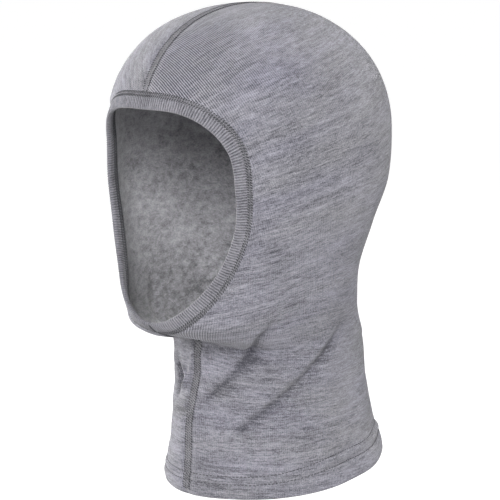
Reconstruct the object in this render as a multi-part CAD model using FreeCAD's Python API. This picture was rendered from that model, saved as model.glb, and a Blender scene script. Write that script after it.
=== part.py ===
# Balaclava of soft knit: two mirrored side panels, a folded rib band round the face opening,
# flatlock seams over the crown and down the throat, a double-needle hem and a blank care label.
# Units are millimetres. +Z is up, the face looks along -Y, +X is the wearer's left,
# and the origin is the middle of the head that the hood holds.
import FreeCAD, Part
import math
import os

Vector = FreeCAD.Vector

# ---- cloth and thread --------------------------------------------------------------------
CLOTH = 1.3                 # thickness of the knit
THREAD = 0.3                # thickness of a layer of sewing thread
CLEAR = 0.05                # air between a thread and the cloth that it lies on

# ---- the stretched form: level sections from the head's middle down to the hem ----------
# height, half width, front y, back y, y of the widest point, exponent of the outline
SECTIONS = [
    (0, 80, -100, 97, 2, 2.2),
    (-30, 78, -100, 93, 2, 2.3),
    (-60, 72, -100, 81, 0, 2.25),
    (-90, 65, -98, 73, 0, 2.15),
    (-112, 61, -93, 75, 5, 2.1),
    (-124, 58, -76, 79, 10, 2.05),
    (-134, 57, -50, 83, 14, 2.0),
    (-165, 57, -51, 90, 17, 2.0),
    (-195, 59, -56, 97, 20, 2.0),
    (-235, 65, -63, 109, 23, 2.0),
]
CROWN_HEIGHT = 83           # top of the crown above the head's middle
CROWN_SIDE = 2.2            # exponents of the crown's arch: to the sides, the front and the back
CROWN_FRONT = 2.3
CROWN_BACK = 2.0

# ---- face opening, an egg in front view, measured at the band's folded edge -------------
OPENING_MIDDLE_Z = -30
OPENING_TOP_Z = 22
OPENING_BOTTOM_Z = -112
OPENING_HALF_WIDTH = 57
OPENING_TOP_EXPONENT = 3.0
OPENING_BOTTOM_EXPONENT = 1.85

# ---- face band ---------------------------------------------------------------------------
BAND_WIDTH = 9.0
BAND_THICKNESS = 2.6        # two layers of rib
BAND_PROUD = 0.5            # how far the band stands above the panels
BAND_JOIN_GAP = 0.5         # between the band's two ends, under the chin
BAND_STEPS_ROUND = 64

# ---- neck and hem ------------------------------------------------------------------------
THROAT_PIVOT = Vector(0, -84, -141)     # the panels' rows fan round this point, under the chin
FAN_START = math.radians(-3.6)          # tilt of the fan's first plane, at the face opening
FAN_SHARE = 0.66                        # share of a panel, from face to hem, that fans
FACE_BLEND = 0.7                        # share of the fan over which rows turn from edge to plane
FAN_EVENING = 0.6                       # power that spaces the fan's rows evenly
HEM_TILT = math.radians(3.0)            # the hem is this much higher at the back
HEM_Z = -224.5                          # height of the hem plane at HEM_Y
HEM_Y = 18.0
TURN_UP = 20.0                          # depth of the turned-up hem
TURN_UP_GAP = 0.3                       # air inside the folded hem

# ---- seams -------------------------------------------------------------------------------
CENTRE_SEAM_WIDTH = 6.0     # flatlock over the crown and down the throat
CENTRE_SEAM_ROWS = 4
FACE_SEAM_WIDTH = 3.2
FACE_SEAM_ROWS = 2
ROW_WIDTH = 0.6             # one row of needle thread
SEAM_CROSSING_GAP = 0.3     # between seams that meet
HEM_ROW_HEIGHTS = (11.0, 17.5)          # the two needle rows above the hem's edge
HEM_LOOPER_HEIGHTS = (9.5, 19.0)        # the looper threads inside, over the turn-up's edge

# ---- care label, blank, inside the nape --------------------------------------------------
LABEL_WIDTH = 24.0
LABEL_HEIGHT = 32.0
LABEL_THICKNESS = 0.4
LABEL_TOP_HEIGHT = 75.0     # its top above the hem's edge
LABEL_STITCH_WIDTH = 20.0
LABEL_STITCH_DROP = 3.0     # from the label's top down to its stitching

PANEL_STEPS_ROUND = 24      # grid of a panel: round the head and along it
PANEL_STEPS_ALONG = 36
SEAM_STEPS = 48


# ==== the form ============================================================================

def monotone_slopes(heights, values):
    """Slopes for a smooth curve through the values that never overshoots them."""
    steps = []
    for k in range(len(values) - 1):
        steps.append((values[k + 1] - values[k]) / (heights[k + 1] - heights[k]))
    slopes = [0.0]
    for before, after in zip(steps[:-1], steps[1:]):
        slopes.append(0.0 if before * after <= 0 else 2 * before * after / (before + after))
    slopes.append(steps[-1])
    return slopes


SECTION_HEIGHTS = [row[0] for row in SECTIONS]
SECTION_SLOPES = [
    monotone_slopes(SECTION_HEIGHTS, [row[column] for row in SECTIONS]) for column in range(1, 6)
]


def section(z):
    """Half width, front y, back y, widest y and exponent of the level section at height z."""
    z = min(max(z, SECTION_HEIGHTS[-1]), SECTION_HEIGHTS[0])
    k = 0
    while k < len(SECTIONS) - 2 and z < SECTION_HEIGHTS[k + 1]:
        k += 1
    span = SECTION_HEIGHTS[k + 1] - SECTION_HEIGHTS[k]
    t = (z - SECTION_HEIGHTS[k]) / span
    rise = t * t * (3 - 2 * t)
    leave = t * (1 - t) * (1 - t) * span
    arrive = t * t * (t - 1) * span
    values = []
    for column in range(1, 6):
        slopes = SECTION_SLOPES[column - 1]
        low, high = SECTIONS[k][column], SECTIONS[k + 1][column]
        values.append(low + (high - low) * rise + slopes[k] * leave + slopes[k + 1] * arrive)
    return values


def crown_shrink(z, exponent):
    """How much a level section shrinks above the head's middle."""
    if z <= 0:
        return 1.0
    return max(1 - (z / CROWN_HEIGHT) ** exponent, 1e-9) ** (1 / exponent)


def gauge(point):
    """Under 1 inside the form, 1 on it, over 1 outside."""
    if point.z >= CROWN_HEIGHT:
        return 9.0
    half, front, back, widest, exponent = section(point.z)
    dy = point.y - widest
    if dy < 0:
        reach = (widest - front) * crown_shrink(point.z, CROWN_FRONT)
    else:
        reach = (back - widest) * crown_shrink(point.z, CROWN_BACK)
    side = half * crown_shrink(point.z, CROWN_SIDE)
    return (abs(point.x) / side) ** exponent + (abs(dy) / reach) ** exponent


def hit(origin, direction):
    """Where a ray from inside the form leaves it."""
    near, far = 0.0, 260.0
    for _ in range(36):
        middle = (near + far) / 2
        if gauge(origin + direction * middle) < 1:
            near = middle
        else:
            far = middle
    return origin + direction * near


def outward(point):
    """Unit normal of the form."""
    step = 0.2
    slope = Vector()
    slope.x = gauge(point + Vector(step, 0, 0)) - gauge(point - Vector(step, 0, 0))
    slope.y = gauge(point + Vector(0, step, 0)) - gauge(point - Vector(0, step, 0))
    slope.z = gauge(point + Vector(0, 0, step)) - gauge(point - Vector(0, 0, step))
    if abs(point.x) < 1e-9:
        slope.x = 0
    return slope.normalize()


def slide(point, side, normal, distance):
    """The point of the form that lies this far to one side, in the plane of side and normal."""
    depth = 12.0
    return hit(point + side * distance - normal * depth, normal)


# ==== the face opening and the rows of a panel ============================================

def opening_point(turn):
    """A point of the band's folded edge: turn 0 is the forehead, pi the chin, plus the left."""
    sine, cosine = math.sin(turn), math.cos(turn)
    if cosine > 0:
        height, exponent = OPENING_TOP_Z - OPENING_MIDDLE_Z, OPENING_TOP_EXPONENT
    else:
        height, exponent = OPENING_MIDDLE_Z - OPENING_BOTTOM_Z, OPENING_BOTTOM_EXPONENT
    swell = abs(sine / OPENING_HALF_WIDTH) ** exponent + abs(cosine / height) ** exponent
    radius = swell ** (-1 / exponent)
    return hit(Vector(radius * sine, 0, OPENING_MIDDLE_Z + radius * cosine), Vector(0, -1, 0))


def opening_frame(turn):
    """A point of the folded edge, the direction away from the opening and the normal."""
    point = opening_point(turn)
    along = opening_point(turn + 0.01) - opening_point(turn - 0.01)
    normal = outward(point)
    side = normal.cross(along).normalize()
    if side.dot(point - Vector(0, point.y, OPENING_MIDDLE_Z)) < 0:
        side = -side
    return point, side, normal


def chord_middle(start, direction):
    """Middle of the run that a line from outside makes through the form."""
    inside = start
    while gauge(inside) > 1:
        inside = inside + direction * 2
    return (hit(inside, direction) + hit(inside, -direction)) / 2


def panel_front_point(turn):
    """A point of the panels' front edge, where the face band is sewn on."""
    point, side, normal = opening_frame(turn)
    edge = slide(point, side, normal, BAND_WIDTH)
    if math.sin(turn) < 1e-9:
        edge.x = 0
    return edge


TURNS = [math.pi * k / PANEL_STEPS_ROUND for k in range(PANEL_STEPS_ROUND + 1)]
PANEL_FRONT = [panel_front_point(turn) for turn in TURNS]
NECK_DROP = THROAT_PIVOT.z - HEM_Z - (THROAT_PIVOT.y - HEM_Y) * math.tan(HEM_TILT)


def panel_row(share):
    """One row of the left panel, from the back seam round to the front seam.

    Share 0 is the edge at the face band and share 1 is the hem. Up to FAN_SHARE the rows lie in
    planes that fan round the throat, and below it in planes that go down the neck.
    """
    fan = min(share / FAN_SHARE, 1.0) ** FAN_EVENING
    angle = FAN_START + (math.pi / 2 - HEM_TILT - FAN_START) * fan
    pivot = Vector(THROAT_PIVOT)
    if share > FAN_SHARE:
        pivot.z -= NECK_DROP * (share - FAN_SHARE) / (1 - FAN_SHARE)
    left = Vector(1, 0, 0)
    back = Vector(0, math.sin(angle), math.cos(angle))
    blend = min(fan / FACE_BLEND, 1.0)
    blend = blend * blend * (3 - 2 * blend)
    origin = chord_middle(pivot, back)
    row = []
    for turn, edge in zip(TURNS, PANEL_FRONT):
        planar = left * math.sin(turn) + back * math.cos(turn)
        ray = planar * blend + (edge - origin).normalize() * (1 - blend)
        if turn in (TURNS[0], TURNS[-1]):
            ray.x = 0
        row.append(hit(origin, ray.normalize()))
    return row


def share_above_hem(height):
    """The share of the row that lies this far above the hem's edge."""
    return 1 - (1 - FAN_SHARE) * height / NECK_DROP


# ==== surfaces and solids =================================================================

def curve_through(points):
    """A smooth curve through the points, which are evenly spaced in its parameter."""
    curve = Part.BSplineCurve()
    curve.interpolate(Points=points, Parameters=[k / (len(points) - 1) for k in range(len(points))])
    return curve


def strip_face(rows):
    """A face through rows of points, whose edges are exactly the curves of its rows.

    It is straight across where there are only two rows, and smooth where there are more.
    """
    across = [curve_through(row) for row in rows]
    pole_rows = [curve.getPoles() for curve in across]
    pole_columns = [list(column) for column in zip(*pole_rows)]
    along_knots, along_multiplicities, along_degree = [0, 1], [2, 2], 1
    if len(rows) > 2:
        along = [curve_through(column) for column in pole_columns]
        pole_columns = [curve.getPoles() for curve in along]
        along_knots, along_multiplicities = along[0].getKnots(), along[0].getMultiplicities()
        along_degree = along[0].Degree
    surface = Part.BSplineSurface()
    surface.buildFromPolesMultsKnots(
        pole_columns,
        across[0].getMultiplicities(),
        along_multiplicities,
        across[0].getKnots(),
        along_knots,
        False,
        False,
        across[0].Degree,
        along_degree,
    )
    return surface.toShape()


def end_cap(strips, column):
    """The flat end of a tube of strips."""
    edges = []
    for rows in strips:
        points = [row[column] for row in rows]
        if len(points) == 2:
            edges.append(Part.makeLine(*points))
        else:
            edges.append(curve_through(points).toShape())
    return Part.Face(Part.Wire(edges))


def tube_of_strips(strips):
    """A solid whose skin is strips of rows, each starting at the row where the last one ended."""
    faces = [strip_face(rows) for rows in strips]
    faces += [end_cap(strips, 0), end_cap(strips, -1)]
    skin = Part.makeCompound(faces)
    skin.sewShape(0.001)
    solid = Part.makeSolid(skin.Shells[0])
    if solid.Volume < 0:
        solid.reverse()
    return solid


def mirrored(shape):
    """The same piece on the wearer's right."""
    return shape.mirror(Vector(0, 0, 0), Vector(1, 0, 0))


# ==== panels and band =====================================================================

def offset_rows(rows, height):
    """Rows of the form moved outwards by height, or inwards where it is negative."""
    return [[point + outward(point) * height for point in row] for row in rows]


def left_panel():
    """The left panel with its hem turned up inside, as one tube of strips round its section."""
    rows = [panel_row(k / PANEL_STEPS_ALONG) for k in range(PANEL_STEPS_ALONG + 1)]
    fold_rows = [panel_row(share_above_hem(TURN_UP * k / 5)) for k in range(6)]
    inner = offset_rows(rows, -CLOTH)
    hidden = offset_rows(fold_rows, -(CLOTH + TURN_UP_GAP))
    shown = offset_rows(fold_rows, -(2 * CLOTH + TURN_UP_GAP))
    radius = CLOTH + TURN_UP_GAP / 2
    last = rows[-1]
    down = [(low - high).normalize() for high, low in zip(rows[-2], last)]
    bend = []
    for step in range(7):
        turn = math.pi * step / 6
        inwards, lower = radius * (math.cos(turn) - 1), radius * math.sin(turn)
        bend.append([
            point + outward(point) * inwards + way * lower for point, way in zip(last, down)
        ])
    return tube_of_strips([
        rows,
        bend,
        shown,
        [shown[-1], hidden[-1]],
        hidden[::-1],
        [hidden[0], inner[-1]],
        inner[::-1],
        [inner[0], rows[0]],
    ])


def row_beside(stations, distance, height):
    """Points this far beside the stations' line and this high above the form."""
    points = []
    for point, side, normal in stations:
        foot = slide(point, side, normal, distance)
        lift = outward(foot)
        lift = side * lift.dot(side) + normal * lift.dot(normal)
        points.append(foot + lift.normalize() * height)
    return points


def turns_round(gap, steps):
    """Turns all the way round the opening, leaving a gap under the chin."""
    last = math.pi - gap / 2 / (OPENING_MIDDLE_Z - OPENING_BOTTOM_Z)
    return [-last + 2 * last * k / steps for k in range(steps + 1)]


def face_band():
    """The folded rib band: flat on the form, and round where it is folded at the opening."""
    stations = [opening_frame(turn) for turn in turns_round(BAND_JOIN_GAP, BAND_STEPS_ROUND)]
    radius = BAND_THICKNESS / 2
    top, bottom = BAND_PROUD, BAND_PROUD - BAND_THICKNESS
    flat = [BAND_WIDTH + (radius - BAND_WIDTH) * k / 4 for k in range(5)]
    bend = [math.pi * k / 8 for k in range(9)]
    profile = [
        [(distance, top) for distance in flat],
        [(radius - radius * math.sin(b), top - radius + radius * math.cos(b)) for b in bend],
        [(distance, bottom) for distance in flat[::-1]],
        [(BAND_WIDTH, bottom), (BAND_WIDTH, top)],
    ]
    return tube_of_strips([[row_beside(stations, *corner) for corner in strip] for strip in profile])


# ==== threads =============================================================================

def ribbon(stations, start, end, low, high):
    """A flat thread layer from start to end beside the stations' line, from height low to high."""
    across = [start, (start + end) / 2, end]
    upper = [row_beside(stations, distance, high) for distance in across]
    lower = [row_beside(stations, distance, low) for distance in across[::-1]]
    return tube_of_strips([upper, [upper[-1], lower[0]], lower, [lower[-1], upper[0]]])


COVER_TOP = CLEAR + THREAD
NEEDLE_BOTTOM = COVER_TOP + CLEAR
NEEDLE_TOP = NEEDLE_BOTTOM + THREAD
LOOPER_TOP = -CLOTH - CLEAR
LOOPER_BOTTOM = LOOPER_TOP - THREAD


def needle_rows(stations, width, count, bottom, top):
    """Parallel rows of needle thread spread over a seam."""
    rows = []
    for k in range(count):
        start = -width / 2 + (width - ROW_WIDTH) * k / (count - 1)
        rows.append(ribbon(stations, start, start + ROW_WIDTH, bottom, top))
    return Part.makeCompound(rows)


def face_seam_stations(distance, gap):
    """Stations round the opening, at this distance from the band's folded edge."""
    stations = []
    for turn in turns_round(gap, BAND_STEPS_ROUND):
        point, side, normal = opening_frame(turn)
        foot = slide(point, side, normal, distance)
        lift = outward(foot)
        stations.append((foot, (side - lift * side.dot(lift)).normalize(), lift))
    return stations


def centre_stations(column, first_share, last_share, start_gap=0.0):
    """Stations down the panels' back edge, column 0, or front edge, column -1, evenly spaced."""
    fine = 2 * SEAM_STEPS
    points = []
    for k in range(fine + 1):
        points.append(panel_row(first_share + (last_share - first_share) * k / fine)[column])
    travelled = [0.0]
    for before, after in zip(points[:-1], points[1:]):
        travelled.append(travelled[-1] + (after - before).Length)
    stations = []
    k = 0
    for step in range(SEAM_STEPS + 1):
        distance = start_gap + (travelled[-1] - start_gap) * step / SEAM_STEPS
        while k < fine - 1 and travelled[k + 1] < distance:
            k += 1
        part = (distance - travelled[k]) / (travelled[k + 1] - travelled[k])
        point = points[k] * (1 - part) + points[k + 1] * part
        point.x = 0
        normal = outward(point)
        point = slide(point, Vector(1, 0, 0), normal, 0)
        stations.append((point, Vector(1, 0, 0), normal))
    return stations


def hem_stations(height):
    """Stations along the left half of the hem, at this height above its edge."""
    row = panel_row(share_above_hem(height))
    above = panel_row(share_above_hem(height + 1))
    clear_of_seam = CENTRE_SEAM_WIDTH / 2 + SEAM_CROSSING_GAP
    stations = []
    for point, higher in zip(row, above):
        normal = outward(point)
        up = higher - point
        stations.append((point, (up - normal * up.dot(normal)).normalize(), normal))
    inner_stations = [station for station in stations if station[0].x > clear_of_seam]
    return inner_stations


def both_sides(shape):
    """A compound of a piece and its mirror image."""
    return Part.makeCompound([shape, mirrored(shape)])


def hem_needle_threads():
    """Two rows of needle thread round the hem, each in a left and a right run."""
    runs = []
    for height in HEM_ROW_HEIGHTS:
        run = ribbon(hem_stations(height), -ROW_WIDTH / 2, ROW_WIDTH / 2, COVER_TOP, NEEDLE_TOP)
        runs += [run, mirrored(run)]
    return Part.makeCompound(runs)


def hem_looper_thread():
    """The looper threads inside the hem, which cover the cut edge of its turn-up."""
    low, high = HEM_LOOPER_HEIGHTS
    top = -(2 * CLOTH + TURN_UP_GAP) - CLEAR
    half = (high - low) / 2
    run = ribbon(hem_stations((low + high) / 2), -half, half, top - THREAD, top)
    return both_sides(run)


def centre_seam(nodes, name, column):
    """Cover and needle threads outside a centre seam, and looper threads inside it."""
    start_gap = FACE_SEAM_WIDTH / 2 + SEAM_CROSSING_GAP
    outside = centre_stations(column, 0, 1, start_gap)
    inside = centre_stations(column, 0, share_above_hem(TURN_UP + 1), start_gap)
    width, half = CENTRE_SEAM_WIDTH, CENTRE_SEAM_WIDTH / 2
    nodes[name + "_cover_thread"] = ribbon(outside, -half, half, CLEAR, COVER_TOP)
    nodes[name + "_needle_threads"] = needle_rows(
        outside, width, CENTRE_SEAM_ROWS, NEEDLE_BOTTOM, NEEDLE_TOP
    )
    nodes[name + "_looper_thread"] = ribbon(inside, -half, half, LOOPER_BOTTOM, LOOPER_TOP)


def face_seam(nodes):
    """The seam that joins band and panels; it lies on the band's edge and on the panels."""
    stations = face_seam_stations(BAND_WIDTH, BAND_JOIN_GAP)
    width, half = FACE_SEAM_WIDTH, FACE_SEAM_WIDTH / 2
    base = BAND_PROUD + CLEAR
    below = BAND_PROUD - BAND_THICKNESS - CLEAR
    nodes["face_seam_cover_thread"] = ribbon(stations, -half, half, base, base + THREAD)
    nodes["face_seam_needle_threads"] = needle_rows(
        stations, width, FACE_SEAM_ROWS, base + THREAD + CLEAR, base + 2 * THREAD + CLEAR
    )
    nodes["face_seam_looper_thread"] = ribbon(stations, -half, half, below - THREAD, below)


def face_band_join_stitch():
    """A short bar of stitching over the band's two ends, under the chin."""
    point, side, normal = opening_frame(math.pi)
    last = BAND_WIDTH - FACE_SEAM_WIDTH / 2 - SEAM_CROSSING_GAP
    stations = []
    for k in range(7):
        foot = slide(point, side, normal, BAND_THICKNESS / 2 + (last - BAND_THICKNESS / 2) * k / 6)
        foot.x = 0
        stations.append((foot, Vector(1, 0, 0), outward(foot)))
    base = BAND_PROUD + CLEAR
    return ribbon(stations, -1, 1, base, base + THREAD)


# ==== care label ==========================================================================

def label_stations(top_height, drop):
    """Stations down the inside of the nape, from this height above the hem."""
    return centre_stations(0, share_above_hem(top_height), share_above_hem(top_height - drop))


def care_label():
    """A blank label that hangs inside the nape, over the back seam."""
    top = LOOPER_BOTTOM - CLEAR
    half = LABEL_WIDTH / 2
    stations = label_stations(LABEL_TOP_HEIGHT, LABEL_HEIGHT)
    return ribbon(stations, -half, half, top - LABEL_THICKNESS, top)


def care_label_stitch():
    """The row of stitching near the label's top."""
    top = LOOPER_BOTTOM - 2 * CLEAR - LABEL_THICKNESS
    half = LABEL_STITCH_WIDTH / 2
    stations = label_stations(LABEL_TOP_HEIGHT - LABEL_STITCH_DROP, ROW_WIDTH)
    return ribbon(stations, -half, half, top - THREAD, top)


# ==== the balaclava =======================================================================

def build():
    """Every sub-part by its node name."""
    panel = left_panel()
    nodes = {
        "left_panel": panel,
        "right_panel": mirrored(panel),
        "face_band": face_band(),
        "face_band_join_stitch": face_band_join_stitch(),
        "hem_needle_threads": hem_needle_threads(),
        "hem_looper_thread": hem_looper_thread(),
        "care_label": care_label(),
        "care_label_stitch": care_label_stitch(),
    }
    face_seam(nodes)
    centre_seam(nodes, "crown_seam", 0)
    centre_seam(nodes, "throat_seam", -1)
    return nodes


os.makedirs("parts", exist_ok=True)
for node_name, shape in build().items():
    shape.exportStep("parts/" + node_name + ".step")
    box = shape.BoundBox
    print(
        f"{node_name}: {len(shape.Solids)} solid(s), valid {shape.isValid()}, "
        f"{shape.Volume / 1000:.2f} cm3, z {box.ZMin:.1f} to {box.ZMax:.1f}"
    )
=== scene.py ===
"""A heather-grey knit balaclava, worn smooth over a head-shaped form.

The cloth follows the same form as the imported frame, in millimetres until a mesh is made. Folds,
seam grooves and the hem are shaped into the panels, and every row of sewing is real thread.
"""
import math

import bpy
import numpy as np
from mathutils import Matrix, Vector


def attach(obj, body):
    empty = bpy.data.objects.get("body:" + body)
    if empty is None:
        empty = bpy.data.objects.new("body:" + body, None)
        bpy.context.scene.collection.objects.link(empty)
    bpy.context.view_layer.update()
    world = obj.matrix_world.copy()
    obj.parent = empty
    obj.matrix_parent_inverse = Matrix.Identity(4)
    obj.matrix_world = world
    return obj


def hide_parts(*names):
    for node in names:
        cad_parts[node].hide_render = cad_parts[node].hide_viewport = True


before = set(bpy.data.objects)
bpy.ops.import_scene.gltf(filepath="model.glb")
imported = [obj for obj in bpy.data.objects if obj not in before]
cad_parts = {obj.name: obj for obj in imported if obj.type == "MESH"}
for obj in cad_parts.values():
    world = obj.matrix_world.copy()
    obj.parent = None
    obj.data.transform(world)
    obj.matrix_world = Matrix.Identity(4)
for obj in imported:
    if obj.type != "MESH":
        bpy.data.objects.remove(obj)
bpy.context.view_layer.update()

MM = 0.001

# ---- the form, as in the frame: height, half width, front y, back y, widest y, exponent ----
SECTIONS = np.array([
    (0, 80, -100, 97, 2, 2.2),
    (-30, 78, -100, 93, 2, 2.3),
    (-60, 72, -100, 81, 0, 2.25),
    (-90, 65, -98, 73, 0, 2.15),
    (-112, 61, -93, 75, 5, 2.1),
    (-124, 58, -76, 79, 10, 2.05),
    (-134, 57, -50, 83, 14, 2.0),
    (-165, 57, -51, 90, 17, 2.0),
    (-195, 59, -56, 97, 20, 2.0),
    (-235, 65, -63, 109, 23, 2.0),
], float)
CROWN_HEIGHT = 83.0
CROWN_SIDE, CROWN_FRONT, CROWN_BACK = 2.2, 2.3, 2.0

OPENING_MIDDLE_Z, OPENING_TOP_Z, OPENING_BOTTOM_Z = -30.0, 22.0, -112.0
OPENING_HALF_WIDTH = 57.0
OPENING_TOP_EXPONENT, OPENING_BOTTOM_EXPONENT = 3.0, 1.85

# a panel's rows lie in planes that fan round the throat and then go down the neck, level
THROAT_PIVOT = np.array([0.0, -84.0, -141.0])
FAN_START = math.radians(-3.6)
FAN_SHARE, FACE_BLEND, FAN_EVENING = 0.66, 0.7, 0.6
HEM_TILT = math.radians(3.0)
HEM_Z, HEM_Y = -224.5, 18.0
NECK_DROP = THROAT_PIVOT[2] - HEM_Z - (THROAT_PIVOT[1] - HEM_Y) * math.tan(HEM_TILT)

# ---- cloth, band and sewing ----------------------------------------------------------------
CLOTH = 1.3                     # thickness of the knit
TURN_UP = 20.0                  # depth of the turned-up hem
BAND_WIDTH = 9.0
BAND_LAYER = 1.2                # one layer of the folded rib
BAND_FLARE = 3.2                # how far the band's fold stands out beyond its seam
BAND_MIDDLE = -0.8              # height of the band's fold line over the form
RIB_PERIOD = 1.6
RIB_RELIEF = 0.2
CROWN_SEAM_WIDTH = 6.2          # flatlock over the crown
THROAT_SEAM_WIDTH = 6.0         # flatlock down the throat
FACE_SEAM_WIDTH = 3.4           # cover thread over the band's edge
LOOPER_INSET = 3.0              # how far the looper lies from that seam, towards the opening
MAT_SHARE, MAT_THICKNESS = 0.9, 0.22    # the cover thread's mat: share of the seam's width
STITCH_SAMPLES = np.linspace(0, 1, 5)   # shares of a stitch's length where it gets its points
LABEL_SIZE = (24.0, 32.0)       # blank label inside the nape
LABEL_TOP = 75.0                # its top above the hem's edge

# ---- grids ---------------------------------------------------------------------------------
PANEL_ROWS, PANEL_COLUMNS = 261, 151
HEM_BEND_STEPS = 6
GRAIN_ROWS, GRAIN_COLUMNS = 88, 51
RIGHT_GRAIN_SHIFT = 700         # so that the right panel's streaks differ from the left's


# ==== the form ==============================================================================

def unit(vectors):
    return vectors / np.linalg.norm(vectors, axis=-1, keepdims=True)


def smooth(t):
    """0 below 0, 1 above 1, and an S between them."""
    t = np.clip(t, 0, 1)
    return t * t * (3 - 2 * t)


def near(distance, width):
    """A bell that is 1 at no distance."""
    return np.exp(-(distance / width) ** 2)


def monotone_slopes(heights, values):
    """Slopes for a smooth curve through the values that never overshoots them."""
    steps = np.diff(values) / np.diff(heights)
    slopes = [0.0]
    for before, after in zip(steps[:-1], steps[1:]):
        slopes.append(0.0 if before * after <= 0 else 2 * before * after / (before + after))
    slopes.append(steps[-1])
    return slopes


SECTION_SLOPES = np.array([monotone_slopes(SECTIONS[:, 0], c) for c in SECTIONS[:, 1:].T]).T


def section(z):
    """Half width, front y, back y, widest y and exponent of the level section at height z."""
    z = np.clip(z, SECTIONS[-1, 0], SECTIONS[0, 0])
    k = np.clip(np.searchsorted(-SECTIONS[:, 0], -z) - 1, 0, len(SECTIONS) - 2)
    span = SECTIONS[k + 1, 0] - SECTIONS[k, 0]
    t = (z - SECTIONS[k, 0]) / span
    leave, arrive = t * (1 - t) ** 2 * span, t * t * (t - 1) * span
    low, high = SECTIONS[k, 1:], SECTIONS[k + 1, 1:]
    values = low + (high - low) * smooth(t)[..., None]
    values += SECTION_SLOPES[k] * leave[..., None] + SECTION_SLOPES[k + 1] * arrive[..., None]
    return np.moveaxis(values, -1, 0)


def crown_shrink(z, exponent):
    """How much a level section shrinks above the head's middle."""
    share = np.clip(z, 0, CROWN_HEIGHT) / CROWN_HEIGHT
    return np.maximum(1 - share ** exponent, 1e-9) ** (1 / exponent)


def gauge(points):
    """Under 1 inside the form, 1 on it, over 1 outside."""
    x, y, z = np.moveaxis(points, -1, 0)
    half, front, back, widest, exponent = section(z)
    before = (widest - front) * crown_shrink(z, CROWN_FRONT)
    behind = (back - widest) * crown_shrink(z, CROWN_BACK)
    reach = np.where(y < widest, before, behind)
    side = half * crown_shrink(z, CROWN_SIDE)
    value = (np.abs(x) / side) ** exponent + (np.abs(y - widest) / reach) ** exponent
    return np.where(z >= CROWN_HEIGHT, 9.0, value)


def hit(origin, direction):
    """Where rays from inside the form leave it."""
    origin, direction = np.broadcast_arrays(origin, direction)
    near_end = np.zeros(origin.shape[:-1])
    far_end = np.full(origin.shape[:-1], 260.0)
    for _ in range(32):
        middle = (near_end + far_end) / 2
        inside = gauge(origin + direction * middle[..., None]) < 1
        near_end = np.where(inside, middle, near_end)
        far_end = np.where(inside, far_end, middle)
    return origin + direction * near_end[..., None]


def outward(points):
    """Unit normals of the form."""
    slope = np.empty(points.shape)
    for axis in range(3):
        step = np.zeros(3)
        step[axis] = 0.2
        slope[..., axis] = gauge(points + step) - gauge(points - step)
    return unit(slope)


def travelled_along(points):
    """The distance along a line of points at each of them."""
    return np.append(0, np.cumsum(np.linalg.norm(np.diff(points, axis=0), axis=-1)))


def on_line(line, distance):
    """Places at distances along a line, which is its points and the distance at each."""
    points, travelled = line
    return np.stack([np.interp(distance, travelled, points[:, k]) for k in range(3)], -1)


def slide(point, side, normal, distance):
    """The point of the form this far to one side, in the plane of side and normal."""
    return hit(point + side * distance - normal * 12.0, normal)


def opening_point(turn):
    """A point of the band's folded edge: turn 0 is the forehead, pi the chin, plus the left."""
    sine, cosine = np.sin(turn), np.cos(turn)
    above = cosine > 0
    height = np.where(above, OPENING_TOP_Z - OPENING_MIDDLE_Z, OPENING_MIDDLE_Z - OPENING_BOTTOM_Z)
    exponent = np.where(above, OPENING_TOP_EXPONENT, OPENING_BOTTOM_EXPONENT)
    swell = np.abs(sine / OPENING_HALF_WIDTH) ** exponent + np.abs(cosine / height) ** exponent
    radius = swell ** (-1 / exponent)
    start = np.stack([radius * sine, 0 * sine, OPENING_MIDDLE_Z + radius * cosine], -1)
    return hit(start, np.array([0.0, -1.0, 0.0]))


def opening_frame(turn):
    """Points of the folded edge, the directions away from the opening and the normals."""
    point = opening_point(turn)
    along = opening_point(turn + 0.01) - opening_point(turn - 0.01)
    normal = outward(point)
    side = unit(np.cross(normal, along))
    away = point - np.array([0, 0, OPENING_MIDDLE_Z])
    away[..., 1] = 0
    facing = np.sum(side * away, -1, keepdims=True)
    return point, np.where(facing < 0, -side, side), normal


def chord_middle(start, direction):
    """Middle of the run that lines from outside make through the form."""
    inside = start
    for _ in range(60):
        inside = np.where((gauge(inside) > 1)[..., None], inside + direction * 2, inside)
    return (hit(inside, direction) + hit(inside, -direction)) / 2


def panel_points(share, turn):
    """Points of the left panel: share 0 at the face band, 1 at the hem; turn 0 at the back seam."""
    fan = np.minimum(share / FAN_SHARE, 1.0) ** FAN_EVENING
    angle = FAN_START + (math.pi / 2 - HEM_TILT - FAN_START) * fan
    drop = NECK_DROP * np.maximum(share - FAN_SHARE, 0) / (1 - FAN_SHARE)
    pivot = THROAT_PIVOT - drop[..., None] * np.array([0, 0, 1.0])
    back = np.stack([0 * angle, np.sin(angle), np.cos(angle)], -1)
    middle = chord_middle(pivot, back)
    point, side, normal = opening_frame(turn)
    edge = slide(point, side, normal, BAND_WIDTH)
    left = np.array([1.0, 0, 0])
    planar = left * np.sin(turn)[..., None] + back * np.cos(turn)[..., None]
    blend = smooth(fan / FACE_BLEND)[..., None]
    ray = unit(planar * blend + unit(edge - middle) * (1 - blend))
    ray[..., 0] = np.where(np.abs(np.sin(turn)) < 1e-9, 0, ray[..., 0])
    return hit(middle, unit(ray))


def share_above_hem(height):
    """The share of the points that lie this far above the hem's edge."""
    return 1 - (1 - FAN_SHARE) * height / NECK_DROP


def hem_height(points):
    """How far points of the neck lie above the hem's edge."""
    return points[..., 2] - HEM_Z - (points[..., 1] - HEM_Y) * math.tan(HEM_TILT)


# ==== folds and seams, shaped into the cloth ================================================

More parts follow.
